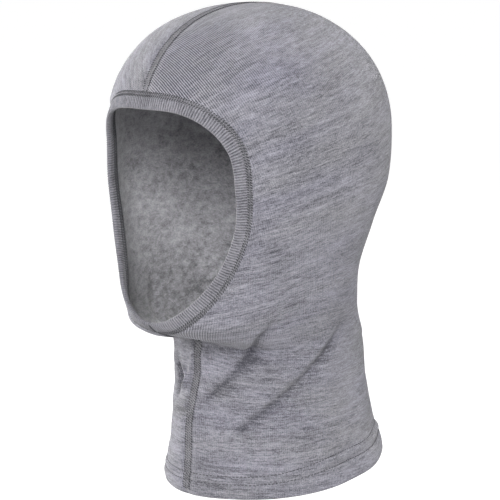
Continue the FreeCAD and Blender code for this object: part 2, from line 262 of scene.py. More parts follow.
# Each fold has a route over the form, the depth of its groove, the height of the ridges on its left
# and right going along it, and the half widths of its steep left side and its gentle right side.
FOLDS = [
    # from the front of the neck up to the jaw's corner, wearer's left
    ([(8, -51, -170), (15, -48, -162), (27, -42, -146), (36, -38, -132), (47, -43, -123),
      (58, -36, -105)],
     2.5, 0.5, 0.4, 2.3, 4.6),
    # from above the hem up to the back of the jaw, wearer's left
    ([(27, -47, -189), (33, -41, -183), (42, -30, -172), (54, -6, -151), (57, 12, -134),
      (57, 30, -118)],
     2.3, 0.8, 0.5, 2.5, 4.8),
    # under the chin
    ([(-32, -42, -135), (-5, -58, -131), (14, -62, -128.5), (25, -58, -126.5), (35, -52, -122)],
     2.2, 0.0, 0.2, 1.7, 4.0),
    # the hollow beside the throat, wearer's right, and the ridges that turn round it
    ([(-27, -43, -146), (-19, -46, -152), (-17, -48, -158), (-20, -46, -167), (-28, -42, -175)],
     3.8, 0.5, 0.2, 4.2, 4.2),
    ([(-30, -41, -142), (-17, -47, -149), (-11, -49, -153), (-9, -50, -160), (-23, -46, -173)],
     -2.1, -0.2, 0.0, 1.4, 1.4),
    ([(-3, -50, -134), (-5, -50, -147), (-8, -50, -158), (-13, -50, -168)],
     -1.2, -0.2, 0.0, 1.2, 1.2),
    # from the hollow's foot to the throat seam
    ([(-38, -38, -179), (-20, -48, -180), (-10, -51, -179), (-2, -53, -178)],
     2.2, 0.8, 0.5, 1.5, 3.0),
    # slack creases just over the hem
    ([(2, -60, -211), (18, -57, -210), (34, -49, -209)], 1.0, 0.5, 0.2, 1.3, 2.2),
    ([(10, -60, -220), (24, -55, -219), (38, -46, -216)], 0.6, 0.3, 0.2, 1.3, 2.2),
    # behind the left ear, down to the nape
    ([(56, 40, -118), (46, 66, -134), (26, 84, -146)], 1.2, 0.6, 0.4, 3.0, 5.0),
    # the wearer's right side, which hangs a little differently
    ([(-26, -45, -164), (-42, -36, -142), (-57, -30, -116), (-62, -22, -100)],
     0.5, 0.6, 2.2, 3.0, 4.0),
    ([(-30, -46, -196), (-46, -24, -176), (-56, 4, -150), (-56, 28, -134)],
     2.0, 0.6, 0.8, 3.6, 3.6),
    ([(-52, 52, -124), (-40, 74, -140), (-18, 88, -152), (4, 91, -156)],
     1.6, 0.5, 0.6, 3.6, 3.6),
]
# Swellings and hollows: the height, the middle and spread in z and in x, and the y behind which
# each is gone, with the length over which it fades in front of that.
JAW_SHAPES = [
    (2.6, -120, 9, -24, 17, -40, 25),       # the chin's fuller right side
    (-3.6, -129.5, 6, 8, 16, -20, 25),      # the step under the chin
    (0.9, -133, 4.5, 44, 9, -8, 14),        # the swell below the left jaw
    (-1.7, -141, 8, -34, 14, -20, 25),      # the hollow beside the throat, wearer's right
]
FOLD_SAMPLES = 48
FOLDS_BELOW = -88               # no fold lies above this height


def smooth_route(points):
    """Even samples of a smooth line through given points."""
    points = np.array(points, float)
    padded = np.vstack([2 * points[0] - points[1], points, 2 * points[-1] - points[-2]])
    samples = []
    for t in np.linspace(0, len(points) - 1, FOLD_SAMPLES):
        k = min(int(t), len(points) - 2)
        u = t - k
        p0, p1, p2, p3 = padded[k:k + 4]
        bend = (2 * p0 - 5 * p1 + 4 * p2 - p3) * u * u + (3 * p1 - p0 - 3 * p2 + p3) * u ** 3
        samples.append((2 * p1 + (p2 - p0) * u + bend) / 2)
    return np.array(samples)


def prepared_fold(route, *profile):
    """A fold with its samples, the directions along it and across it, and its profile."""
    samples = smooth_route(route)
    along = unit(np.gradient(samples, axis=0))
    across = unit(np.cross(outward(samples), along))
    return samples, across, profile


PREPARED_FOLDS = [prepared_fold(*fold) for fold in FOLDS]


def fold_relief(points):
    """Height that the folds add to points of the form, and how much shade is painted on each point.
    """
    total, shade = np.zeros(len(points)), np.zeros(len(points))
    for samples, across, (groove, left, right, steep, gentle) in PREPARED_FOLDS:
        apart = points[:, None] - samples[None]
        nearest = np.argmin(np.sum(apart ** 2, -1), 1)
        offset = apart[np.arange(len(points)), nearest]
        distance = np.linalg.norm(offset, axis=-1)
        sideways = np.sign(np.sum(offset * across[nearest], -1)) * distance
        share = nearest / (FOLD_SAMPLES - 1)
        strength = smooth(share / 0.2) * smooth((1 - share) / 0.25)
        spread = 1.25 - 0.25 * strength
        height = -groove * near(sideways, np.where(sideways > 0, steep, gentle) * spread)
        height += left * near(sideways - 2.1 * steep * spread, 1.5 * steep)
        height += right * near(sideways + 2.0 * gentle * spread, 1.4 * gentle)
        total += strength * height
        # painted shade, darkest in each groove and spreading onto its gentle side
        core = near(sideways, 0.5 * steep + 0.8) + 0.55 * near(sideways + 0.6 * gentle, gentle)
        shade = np.maximum(shade, strength * np.clip(groove / 3.0, 0, 1) * core)
    return total, shade


def wobble(points, length, seed):
    """Slow, even unevenness with waves of about this length."""
    random = np.random.default_rng(seed)
    total = 0.0
    for _ in range(7):
        way = random.normal(size=3)
        way *= 2 * math.pi / length / np.linalg.norm(way) * random.uniform(0.7, 1.4)
        total = total + np.sin(points @ way + random.uniform(0, 2 * math.pi))
    return total / 2.6


def hem_rolled(y):
    """1 at the front, where the hem's edge rolls under, and 0 at the side and back."""
    return smooth((20 - y) / 62)


def hem_row_height(y, row):
    """Height of a needle row over the hem's edge: row 0 is the lower, 1 the upper."""
    rolled = hem_rolled(y)
    return 11.0 - 2.8 * rolled + row * (6.5 - 1.6 * rolled)


def relief(points):
    """Height of the cloth's outer face over the form."""
    shape = points.shape[:-1]
    points = points.reshape(-1, 3)
    x, y, z = points.T
    neck = smooth((-112 - z) / 24)
    total = (0.16 + 0.3 * neck) * wobble(points, 46, 3) + 0.12 * neck * wobble(points, 21, 4)
    low = z < FOLDS_BELOW
    total[low] += fold_relief(points[low])[0]
    for lift, middle_z, spread_z, middle_x, spread_x, fade_y, fade in JAW_SHAPES:
        bump = near(z - middle_z, spread_z) * near(x - middle_x, spread_x)
        total += lift * bump * smooth((fade_y - y) / fade)
    # the centre seams, sunk between low ridges
    total += -0.45 * near(x, 3.2) + 0.28 * near(np.abs(x) - 6.2, 2.6)
    # the hem: needle rows, the thicker turn-up, its rolled edge and its flare at the left back
    height = hem_height(points)
    for row in (0, 1):
        total -= 0.7 * near(height - hem_row_height(y, row), 1.2)
    total += 0.35 * near(height - hem_row_height(y, 0.5), 2.0) + 0.3 * smooth((21 - height) / 1.6)
    total += 0.4 * near(height - 4.5, 4.0) - 2.4 * hem_rolled(y) * smooth((7 - height) / 9)
    behind = smooth((y - 30) / 40) * smooth((x + 20) / 40)
    total += 1.5 * behind * smooth((15.5 - height) / 2.5)
    return total.reshape(shape)


def painted_shade_and_light(points):
    """Painted shade: how far the outer face is darkened in the folds, under the jaw and at the
    throat.

    Under 0 it is painted light, which lightens the outer face on the neck's left side and along the
    hem.
    """
    flat = points.reshape(-1, 3)
    shade = np.zeros(len(flat))
    low = flat[:, 2] < FOLDS_BELOW
    shade[low] = fold_relief(flat[low])[1]
    x, y, z = flat.T
    # painted shade under the jaw
    shade += 0.32 * near(z + 132, 5) * near(x - 8, 24) * smooth((-10 - y) / 30)
    # painted shade at the throat, wearer's right
    shade += 0.14 * near(x + 32, 15) * smooth((-20 - y) / 20) * smooth((-135 - z) / 12)
    # painted light on the neck's left side and along the hem
    shade -= 0.08 * smooth((x - 14) / 22) * smooth((-138 - z) / 22) + 0.12 * near(z + 220, 11)
    return np.clip(shade, -0.3, 1).reshape(points.shape[:-1])


def drifted(points):
    """The cloth hangs a little lower at the sides, and the throat seam wanders on its way down."""
    x, y, z = np.moveaxis(points, -1, 0)
    way = -1.0 * near(z + 138, 10) - 5.2 * near(z + 178, 22)
    moved = points.copy()
    moved[..., 0] += way * near(x, 24) * smooth((8 - y) / 30)
    side = smooth((np.abs(x) - 18) / 30) * near(y - 10, 70)
    moved[..., 2] -= 2.6 * side * smooth((-196 - z) / 32)
    return moved


def on_cloth(feet, lift):
    """Points this high over the cloth's outer face, at feet on the form, and their normals."""
    normals = outward(feet)
    height = relief(feet) + lift
    return drifted(feet + normals * height[..., None]), normals


# ==== meshes ================================================================================

def grid_faces(rows, columns, wrapped=False):
    """Quads between the neighbouring rows and columns of a grid of points."""
    row = np.arange(rows if wrapped else rows - 1)[:, None]
    column = np.arange(columns - 1)[None]
    this, following = row * columns + column, (row + 1) % rows * columns + column
    return np.stack([this, this + 1, following + 1, following], -1).reshape(-1, 4)


def linked(name, data):
    """A new object of the scene with this mesh, lamp or camera."""
    made = bpy.data.objects.new(name, data)
    bpy.context.scene.collection.objects.link(made)
    return made


def make_piece(name, points, faces, materials, replaced,
               indices=None, grain=None, shade=None):
    """A piece in metres that rides on the frame and stands for its CAD nodes."""
    mesh = bpy.data.meshes.new(name)
    mesh.from_pydata((np.asarray(points).reshape(-1, 3) * MM).tolist(), [], faces)
    for material in materials:
        mesh.materials.append(material)
    if indices is not None:
        mesh.polygons.foreach_set("material_index", np.asarray(indices, np.int32))
    for key, kind, field, values in (("grain", "FLOAT_VECTOR", "vector", grain),
                                     ("shade", "FLOAT", "value", shade)):
        if values is not None:
            attribute = mesh.attributes.new(key, kind, "POINT")
            attribute.data.foreach_set(field, np.asarray(values, np.float32).ravel())
    mesh.shade_smooth()
    mesh.update()
    piece = linked(name, mesh)
    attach(piece, "root")
    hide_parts(*replaced)
    return piece


def thread_parts(paths, ups, radii, sides=6):
    """Points and faces of many threads at once: paths and ups are thread by sample by axis."""
    count, samples = paths.shape[:2]
    along = unit(np.gradient(paths, axis=1))
    across = unit(np.cross(along, ups))
    lift = np.cross(across, along)
    angle = 2 * math.pi * np.arange(sides) / sides
    ring = across[:, :, None] * np.cos(angle)[:, None] + lift[:, :, None] * np.sin(angle)[:, None]
    points = paths[:, :, None] + ring * np.broadcast_to(radii, samples)[:, None, None]
    start = np.arange(count)[:, None, None] * samples * sides
    step = np.arange(samples - 1)[None, :, None] * sides
    side = np.arange(sides)[None, None]
    this, beside = start + step + side, start + step + (side + 1) % sides
    quads = np.stack([this, this + sides, beside + sides, beside], -1).reshape(-1, 4)
    first = (start[:, 0] + side[0]).tolist()
    last = (start[:, 0] + (samples - 1) * sides + side[0])[:, ::-1].tolist()
    return points.reshape(-1, 3), quads.tolist() + first + last


def joined(parts):
    """Points and faces of several meshes as one."""
    points, faces, first = [], [], 0
    for part_points, part_faces in parts:
        part_points = np.asarray(part_points).reshape(-1, 3)
        points.append(part_points)
        faces += [[first + corner for corner in face] for face in part_faces]
        first += len(part_points)
    return np.vstack(points), faces


def thread_piece(name, replaced, material, parts):
    """One group of threads as a piece, with their own place as texture coordinates."""
    points, faces = joined(parts)
    return make_piece(name, points, faces, [material], [replaced], grain=points)


def tube(loop):
    """A closed skin over rings of points, one ring to a row: its points and faces."""
    rows, columns = loop.shape[:2]
    faces = grid_faces(columns, rows, wrapped=True).tolist()
    faces.append(list(range(0, rows * columns, rows)))
    faces.append(list(range(rows - 1, rows * columns, rows))[::-1])
    return loop.transpose(1, 0, 2), faces


def turned_over(faces):
    """The same faces, seen from their other side."""
    return [face[::-1] for face in faces]


# ==== materials =============================================================================

def node(tree, kind, inputs=None, **properties):
    """A shader node with its properties set and its inputs set or linked."""
    made = tree.nodes.new(kind)
    for key, value in properties.items():
        setattr(made, key, value)
    for key, value in (inputs or {}).items():
        if isinstance(value, bpy.types.NodeSocket):
            tree.links.new(value, made.inputs[key])
        else:
            made.inputs[key].default_value = value
    return made


def calc(tree, operation, first, second=0.0, third=0.0):
    """The result of one sum between sockets or numbers."""
    made = node(tree, "ShaderNodeMath", {0: first, 1: second, 2: third}, operation=operation)
    return made.outputs[0]


def noise(tree, grain, scale, detail=2.0, roughness=0.5, shift=0.0):
    """Noise about its mean of nought, stretched by a scale per millimetre on each axis."""
    mapped = node(tree, "ShaderNodeMapping", {"Vector": grain, "Scale": scale,
                                              "Location": (shift, shift * 1.7, shift * 0.6)})
    inputs = {"Vector": mapped.outputs[0], "Scale": 1.0, "Detail": detail, "Roughness": roughness}
    return calc(tree, "SUBTRACT", node(tree, "ShaderNodeTexNoise", inputs).outputs[0], 0.5)


def weighted(tree, base, terms):
    """The base plus each socket times its weight."""
    total = base
    for socket, weight in terms:
        total = calc(tree, "MULTIPLY_ADD", socket, weight, total)
    return total


def tones(tree, factor, dark, light):
    """A colour between a dark and a light one."""
    mixed = node(tree, "ShaderNodeMix", {"Factor": factor}, data_type="RGBA")
    mixed.inputs[6].default_value = (*dark, 1)
    mixed.inputs[7].default_value = (*light, 1)
    return mixed.outputs[2]


def tinted(tree, colour, factor, cool, warm):
    """A colour multiplied by a tint that drifts from cool to warm."""
    mixed = node(tree, "ShaderNodeMix", {"Factor": 1.0}, data_type="RGBA", blend_type="MULTIPLY")
    tree.links.new(colour, mixed.inputs[6])
    tree.links.new(tones(tree, factor, cool, warm), mixed.inputs[7])
    return mixed.outputs[2]


def new_material(name):
    material = bpy.data.materials.new(name)
    material.use_nodes = True
    tree = material.node_tree
    tree.nodes.clear()
    grain = node(tree, "ShaderNodeAttribute", attribute_name="grain").outputs["Vector"]
    return material, tree, grain


def shaded(tree, factor, strength):
    """The factor made lower by painted shade where the cloth's shade is over 0, higher by painted
    light under 0.
    """
    shade = node(tree, "ShaderNodeAttribute", attribute_name="shade").outputs["Fac"]
    return calc(tree, "MULTIPLY_ADD", shade, -strength, factor)


def finish_material(tree, colour, height, bump, roughness, sheen):
    """Cloth or thread: a rough shader with a little sheen and a bump in metres."""
    bumped = node(tree, "ShaderNodeBump", {"Height": height, "Distance": bump, "Strength": 1.0})
    shader = node(tree, "ShaderNodeBsdfPrincipled", {
        "Base Color": colour, "Roughness": roughness, "Normal": bumped.outputs[0],
        "Sheen Weight": sheen, "Sheen Roughness": 0.5, "Specular IOR Level": 0.2,
    })
    output = node(tree, "ShaderNodeOutputMaterial")
    tree.links.new(shader.outputs[0], output.inputs[0])


WALE_PERIOD = 1.38              # spacing of the knit's columns
COURSE_PERIOD = 0.95            # spacing of its rows


def wave(tree, distance, period, warp=0.0):
    """A cosine from -1 to 1 along a distance in millimetres."""
    phase = calc(tree, "MULTIPLY_ADD", distance, 2 * math.pi / period, warp)
    return calc(tree, "COSINE", phase)


def knit_material():
    """Heather jersey: streaks of light and dark fibre along the courses, with wales across."""
    material, tree, grain = new_material("heather_knit")
    axes = node(tree, "ShaderNodeSeparateXYZ", {0: grain}).outputs
    streak = noise(tree, grain, (0.085, 1.0, 1.0), 3.0, 0.6)
    dash = noise(tree, grain, (0.26, 1.25, 1.0), 2.0, 0.55, 11.0)
    long_streak = noise(tree, grain, (0.03, 0.34, 1.0), 2.0, 0.5, 23.0)
    speckle = noise(tree, grain, (1.5, 1.7, 1.0), 1.0, 0.5, 31.0)
    patch = noise(tree, grain, (0.022, 0.035, 1.0), 2.0, 0.5, 47.0)
    hue = noise(tree, grain, (0.016, 0.05, 1.0), 2.0, 0.5, 59.0)
    unevenness = noise(tree, grain, (0.045, 0.05, 1.0), 1.0, 0.5, 71.0)
    wale = wave(tree, axes[0], WALE_PERIOD, calc(tree, "MULTIPLY", long_streak, 2.0))
    course = wave(tree, axes[1], COURSE_PERIOD, calc(tree, "MULTIPLY", patch, 3.0))
    presence = weighted(tree, 0.05, [(unevenness, 0.2), (axes[2], 0.8)])
    factor = weighted(tree, 0.5, [
        (streak, 1.25), (dash, 0.95), (long_streak, 0.72), (speckle, 1.25), (patch, 0.55),
    ])
    factor = calc(tree, "MULTIPLY_ADD", wale, presence, factor)
    # painted shade and painted light from the cloth's shade attribute darken and lighten the knit
    colour = tones(tree, shaded(tree, factor, 0.42), (0.038, 0.0373, 0.046), (0.228, 0.2245, 0.252))
    colour = tinted(tree, colour, weighted(tree, 0.5, [(hue, 2.2)]),
                    (0.985, 0.98, 1.05), (1.0, 1.0, 0.975))
    height = weighted(tree, 0.5, [(wale, 0.7), (course, 0.22), (speckle, 1.0), (dash, 0.7)])
    finish_material(tree, colour, height, 0.00016, 0.95, 0.22)
    return material


def fleece_material():
    """The knit's brushed inside: a soft, mottled nap."""
    material, tree, grain = new_material("brushed_inside")
    mottle = noise(tree, grain, (0.17, 0.24, 1.0), 3.0, 0.6, 5.0)
    cloud = noise(tree, grain, (0.035, 0.06, 1.0), 2.0, 0.5, 17.0)
    nap = noise(tree, grain, (0.8, 1.1, 1.0), 3.0, 0.65, 29.0)
    factor = weighted(tree, 0.52, [(mottle, 1.3), (cloud, 0.7), (nap, 1.1)])
    # painted shade darkens the nap towards the bottom of the neck
    # the tones are lighter than the knit's: partly the nap's own paler colour, partly painted light
    colour = tones(tree, shaded(tree, factor, 0.26), (0.105, 0.104, 0.112), (0.48, 0.475, 0.505))
    height = weighted(tree, 0.5, [(nap, 1.6), (mottle, 1.4)])
    finish_material(tree, colour, height, 0.00035, 1.0, 0.35)
    return material


def rib_material():
    """The band's rib: light ridges, darker valleys between them with painted shade, heather dashes
    along both.
    """
    material, tree, grain = new_material("heather_rib")
    axes = node(tree, "ShaderNodeSeparateXYZ", {0: grain}).outputs
    dash = noise(tree, grain, (0.9, 0.3, 1.0), 2.0, 0.55, 3.0)
    patch = noise(tree, grain, (0.05, 0.06, 1.0), 2.0, 0.5, 13.0)
    speckle = noise(tree, grain, (1.6, 1.6, 1.0), 1.0, 0.5, 37.0)
    jitter = noise(tree, grain, (0.11, 0.3, 1.0), 2.0, 0.5, 61.0)
    rib = wave(tree, axes[0], RIB_PERIOD, calc(tree, "MULTIPLY", jitter, 1.6))
    # the rib wave paints shade into the valleys between the ribs
    factor = weighted(tree, 0.5, [(dash, 0.95), (patch, 0.5), (speckle, 0.7), (rib, 0.28)])
    colour = tones(tree, factor, (0.032, 0.0314, 0.038), (0.203, 0.199, 0.221))
    loops = wave(tree, axes[1], COURSE_PERIOD)
    height = weighted(tree, 0.5, [(loops, 0.2), (speckle, 1.0), (dash, 0.5)])
    finish_material(tree, colour, height, 0.00013, 0.95, 0.22)
    return material


def thread_material(name, dark, light):
    """Textured sewing thread with a soft shine."""
    material, tree, grain = new_material(name)
    fibre = noise(tree, grain, (1.4, 1.4, 1.4), 2.0, 0.6, 7.0)
    drift = noise(tree, grain, (0.12, 0.12, 0.12), 1.0, 0.5, 19.0)
    factor = weighted(tree, 0.5, [(fibre, 1.4), (drift, 0.8)])
    finish_material(tree, tones(tree, factor, dark, light), fibre, 0.00008, 0.75, 0.15)
    return material


def label_material():
    """Blank woven satin: fine ribs across and a pale, even colour."""
    material, tree, grain = new_material("woven_label")
    axes = node(tree, "ShaderNodeSeparateXYZ", {0: grain}).outputs
    weft = wave(tree, axes[1], 0.45)
    warp = noise(tree, grain, (3.0, 0.2, 1.0), 2.0, 0.5, 2.0)
    factor = weighted(tree, 0.5, [(weft, 0.12), (warp, 0.6)])
    colour = tones(tree, factor, (0.5, 0.5, 0.48), (0.72, 0.72, 0.7))
    height = weighted(tree, 0.5, [(weft, 0.4), (warp, 0.5)])
    finish_material(tree, colour, height, 0.00006, 0.5, 0.1)
    return material


# ==== panels ================================================================================

def course_directions(points, normals):
    """Directions of the knit's courses: level round the neck, rising to the back on the head."""
    z = points[..., 2]
    tilt = np.radians(18 * smooth((z + 130) / 100) + 8 * smooth((z + 30) / 70))[..., None]
    up = np.array([0, 0, 1.0])
    level = unit(np.cross(up, normals) + 1e-6)
    climb = np.cross(normals, level)
    round_neck = level * np.cos(tilt) + climb * np.sin(tilt)
    inward = -0.0048 * points[..., 1:2]
    over_head = np.concatenate([inward, np.cos(tilt), np.sin(tilt)], -1)
    over_head = over_head - normals * np.sum(over_head * normals, -1, keepdims=True)
    blend = smooth((z + 122) / 54)[..., None]
    return unit(over_head * blend + round_neck * (1 - blend))


def fitted(pairs, goals, weights, count):
    """Values whose steps between paired points come nearest to the goals (conjugate gradients)."""
    first, second = pairs.T

    def gathered(flow):
        flow = flow * weights
        return np.bincount(second, flow, count) - np.bincount(first, flow, count)

    values = np.zeros(count)
    rest = gathered(goals)
    way = rest
    for _ in range(600):
        pushed = gathered(way[second] - way[first])
        size = rest @ rest
        share = size / (way @ pushed)
        values = values + share * way
        rest = rest - share * pushed
        if rest @ rest < 1e-14 * count:
            break
        way = rest + way * (rest @ rest) / size
    return values


def grain_coordinates(points, normals):
    """Distances along and across the courses, in millimetres, that fit the directions best.

    Each step between neighbours on a coarse grid says how far it goes along and across, and the
    coordinates that agree best with all of them are found by least squares.
    """
    rows = np.linspace(0, len(points) - 1, GRAIN_ROWS).round().astype(int)
    columns = np.linspace(0, points.shape[1] - 1, GRAIN_COLUMNS).round().astype(int)
    coarse, coarse_normals = points[rows][:, columns], normals[rows][:, columns]
    course = course_directions(coarse, coarse_normals)
    across = np.cross(coarse_normals, course)
    number = np.arange(GRAIN_ROWS * GRAIN_COLUMNS).reshape(GRAIN_ROWS, GRAIN_COLUMNS)
    pairs = np.vstack([
        np.stack([number[:-1].ravel(), number[1:].ravel()], 1),
        np.stack([number[:, :-1].ravel(), number[:, 1:].ravel()], 1),
    ])
    place = coarse.reshape(-1, 3)
    step = place[pairs[:, 1]] - place[pairs[:, 0]]
    weights = 1 / np.sum(step ** 2, -1).clip(0.3)
    fine = []
    for direction in (course.reshape(-1, 3), across.reshape(-1, 3)):
        mean = (direction[pairs[:, 0]] + direction[pairs[:, 1]]) / 2
        values = fitted(pairs, np.sum(step * mean, -1), weights, number.size)
        values = values.reshape(GRAIN_ROWS, GRAIN_COLUMNS)
        wide = np.array([np.interp(np.arange(points.shape[1]), columns, row) for row in values])
        fine.append(np.array([
            np.interp(np.arange(len(points)), rows, column) for column in wide.T
        ]).T)
    return fine


def stretched_wales(points):
    """1 where the knit is pulled so that its columns open, beside the brow and under the chin."""
    x, y, z = np.moveaxis(points, -1, 0)
    brow = near(x - 18, 34) * smooth((x + 1) / 3) * near(z - 44, 26) * smooth((-25 - y) / 30)
    chin = near(np.abs(x) - 20, 17) * near(z + 119, 8.5) * smooth((-10 - y) / 30)
    return np.maximum(brow, 0.6 * chin)


def panel(name, sign, materials, replaced):
    """One side panel as a closed shell: outer face, rolled hem fold, turn-up and brushed inside."""
    share = np.linspace(0, 1, PANEL_ROWS)[:, None]
    turn = np.linspace(0, math.pi, PANEL_COLUMNS)[None]
    feet = panel_points(share, turn) * np.array([sign, 1, 1])
    normals = outward(feet)
    steps = np.linalg.norm(np.diff(feet, axis=0), axis=-1)
    from_band = np.vstack([np.zeros((1, PANEL_COLUMNS)), np.cumsum(steps, 0)])
    height = relief(feet) - 0.5 * near(from_band, 1.5) + 0.3 * near(from_band - 4.2, 2.2)
    height -= cheek_pull(feet[:1]) * near(from_band, 15)
    above_hem = hem_height(feet)
    turned_up = smooth((TURN_UP + 0.8 - above_hem) / 1.2)
    depth = CLOTH + (CLOTH + 0.2) * turned_up
    outer = feet + normals * height[..., None]
    inner = feet + normals * (height - depth)[..., None]
    down = unit(outer[-1] - outer[-2])
    radius = depth[-1][:, None] / 2
    bend = []
    for angle in math.pi * np.arange(1, HEM_BEND_STEPS) / HEM_BEND_STEPS:
        sunk = radius * (math.cos(angle) - 1)
        bend.append(outer[-1] + normals[-1] * sunk + down * radius * math.sin(angle))
    loop = drifted(np.concatenate([outer, np.array(bend), inner[::-1]]))
    side = np.array([sign, 1, 1])
    along, across = grain_coordinates(feet * side, normals * side)
    across_bend = np.repeat(across[-1:], len(bend), 0) - 1.0
    u = np.concatenate([along, np.repeat(along[-1:], len(bend), 0), along[::-1]])
    v = np.concatenate([across, across_bend, across[::-1]])
    grain = np.stack([u + (0 if sign > 0 else RIGHT_GRAIN_SHIFT), v, stretched_wales(loop)], -1)
    total = len(loop)
    quads = grid_faces(total, PANEL_COLUMNS, wrapped=True)
    ring = np.repeat(np.arange(total), PANEL_COLUMNS - 1)
    inside = (ring >= PANEL_ROWS + len(bend) - 1) & (ring < total)
    faces, indices = quads.tolist(), inside.astype(int).tolist()
    for column, flipped in ((0, False), (PANEL_COLUMNS - 1, True)):
        caps = [[k, k + 1, total - 2 - k, total - 1 - k] for k in range(PANEL_ROWS - 1)]
        caps.append(list(range(PANEL_ROWS - 1, PANEL_ROWS + len(bend) + 1)))
        for cap in caps:
            cap = [k * PANEL_COLUMNS + column for k in cap]
            faces.append(cap[::-1] if flipped else cap)
            indices.append(0)
    if sign < 0:
        faces = turned_over(faces)
    # painted shade and light on the outer face and the hem's fold
    outside_shade = painted_shade_and_light(feet)
    # painted shade inside, darker towards the bottom of the neck
    inside_shade = smooth((-62 - inner[::-1, :, 2]) / 55)
    edge_shade = np.repeat(outside_shade[-1:], len(bend), 0)
    shade = np.concatenate([outside_shade, edge_shade, inside_shade])
    piece = make_piece(name, loop, faces, materials, replaced, indices, grain, shade)
    return piece, flat_size(along, across), cut_area(outer)


# ==== centre seams ==========================================================================

def cheek_pull(points):
    """How far the face seam draws the cloth in, more on the wearer's right."""
    x, z = points[..., 0], points[..., 2]
    amount = np.where(x < 0, BAND_FLARE, 0.4 * BAND_FLARE)
    return amount * smooth(np.abs(x) / 52) * smooth((z + 114) / 34) * smooth((26 - z) / 16)


def seam_line(turn):
    """The feet of a centre seam from the band to the hem, and the distance along it."""
    share = np.linspace(0, 1, 500)
    feet = panel_points(share, np.full(500, turn))
    feet[:, 0] = 0
    return feet, travelled_along(feet)


def beside_seam(line, distance, lateral):
    """Feet on the form at distances along a centre seam and lateral offsets from it."""
    distance, lateral = np.broadcast_arrays(distance, lateral)
    point = on_line(line, distance)
    normal = outward(point)
    normal[..., 0] = 0
    return slide(point, np.array([1.0, 0, 0]), unit(normal), lateral[..., None])


def arch(t, lift, dip):
    """Height along a stitch, t from 0 to 1, that stands up by lift and dips at both ends."""
    return lift * (1 - (2 * t - 1) ** 4) - dip * (2 * t - 1) ** 4


def tapered(t, ends):
    """Thickness along a stitch, as a share: 1 in the middle and less at its ends."""
    return ends + (1 - ends) * (1 - (2 * t - 1) ** 2)


def stitches(feet_at, starts, length, radius, lift, slant=0.0):
    """Short threads that dip into the cloth at both ends; feet_at maps distances to feet."""
    t = STITCH_SAMPLES
    distance = starts[:, None] + length * t[None]
    feet = feet_at(distance, slant * (t[None] - 0.5) + 0 * distance)
    paths, normals = on_cloth(feet, np.broadcast_to(arch(t, lift, 0.16), distance.shape))
    return thread_parts(paths, normals, radius * tapered(t, 0.72))


def zigzag(pitch, first, last, half):
    """Distances and offsets of a thread that goes from edge to edge of a seam and back."""
    count = int((last - first) / pitch)
    step = np.arange(8 * count + 1) / 8
    distance = first + step * pitch
    swing = np.clip(1.35 * np.cos(math.pi * 2 * step), -1, 1)
    return distance, half * swing


def zigzag_pair(pitch, first, last, half, radius, placed):
    """Two threads that zigzag half a pitch apart; placed gives their path and which way is up."""
    parts = []
    for shift in (0.0, pitch / 2):
        path, ups = placed(*zigzag(pitch, first + shift, last, half))
        parts.append(thread_parts(path[None], ups[None], radius, 5))
    return parts


def strip(feet_at, first, last, mirrored):
    """A thin closed mat of thread under a seam's rows, whose edges feet_at takes as -1 and 1."""
    distance = np.arange(first, last, 1.1)[:, None]
    across = np.array([-1, -0.6, -0.2, 0.2, 0.6, 1.0])[None]
    edge = np.abs(across) == 1
    feet = feet_at(distance, MAT_SHARE * across)
    top, normals = on_cloth(feet, np.where(edge, -0.2, 0.06) + 0 * distance)
    bottom = top - normals * MAT_THICKNESS
    loop = np.concatenate([top, bottom[:, ::-1]], 1)
    points, faces = tube(loop)
    return points, turned_over(faces) if mirrored else faces


def centre_seam(name, turn, materials, first, width, inner):
    """Flatlock: a mat of cover thread with zigzags, four needle rows and the looper inside.

    The outer needle rows are full; inner is the radius of the two rows between them.
    """
    line = seam_line(turn)
    last = line[1][-1] - 0.4

    def half_at(distance):
        return width / 2 * (1 - 0.3 * np.exp(-(distance - first) / 25))

    def feet_at(distance, lateral=0.0):
        return beside_seam(line, distance, lateral)

    def over_seam(distance, swing):
        feet = feet_at(distance, swing * half_at(distance))
        return on_cloth(feet, 0.16 + 0.05 * np.abs(swing))

    def under_seam(distance, swing):
        return on_cloth(feet_at(distance, swing), -CLOTH - 0.22 + 0 * swing)

    parts = [strip(lambda d, across: feet_at(d, across * half_at(d)), first, last, turn == 0)]
    parts += zigzag_pair(1.8, first, last - 2, 0.86, 0.17, over_seam)
    cover = thread_piece(name + "_cover_threads", name + "_cover_thread", materials["cover"], parts)
    rows = []
    for row, radius in enumerate((0.33, inner, inner, 0.36)):
        share = -0.8 + 1.6 * row / 3
        starts = np.arange(first + 0.3 + 0.6 * (row % 2), last - 2.0, 1.6)
        rows.append(stitches(lambda d, across: feet_at(d, share * half_at(d) + across), starts,
                             0.8, radius, 0.16 + radius * 0.7, 1.2))
    needles = thread_piece(name + "_needle_stitches", name + "_needle_threads",
                           materials["thread"], rows)
    parts = zigzag_pair(2.2, first, last - TURN_UP - 1, width / 2, 0.19, under_seam)
    looper = thread_piece(name + "_looper_threads", name + "_looper_thread",
                          materials["cover"], parts)
    return [cover, needles, looper]


# ==== face band =============================================================================

def opening_line():
    """Turns at even distances round the folded edge, from the chin round and back to it."""
    turn = np.linspace(-math.pi, math.pi, 721)
    return turn, travelled_along(opening_point(turn))


def band_frame(line, distance):
    return opening_frame(np.interp(distance, line[1], line[0]))


def band_wave(line, distance, seed):
    """A slow waver along the band that closes on itself."""
    turn = np.interp(distance, line[1], line[0])
    ring = np.stack([np.cos(turn), np.sin(turn), 0 * turn], -1) * 70
    return wobble(ring, 60, seed)


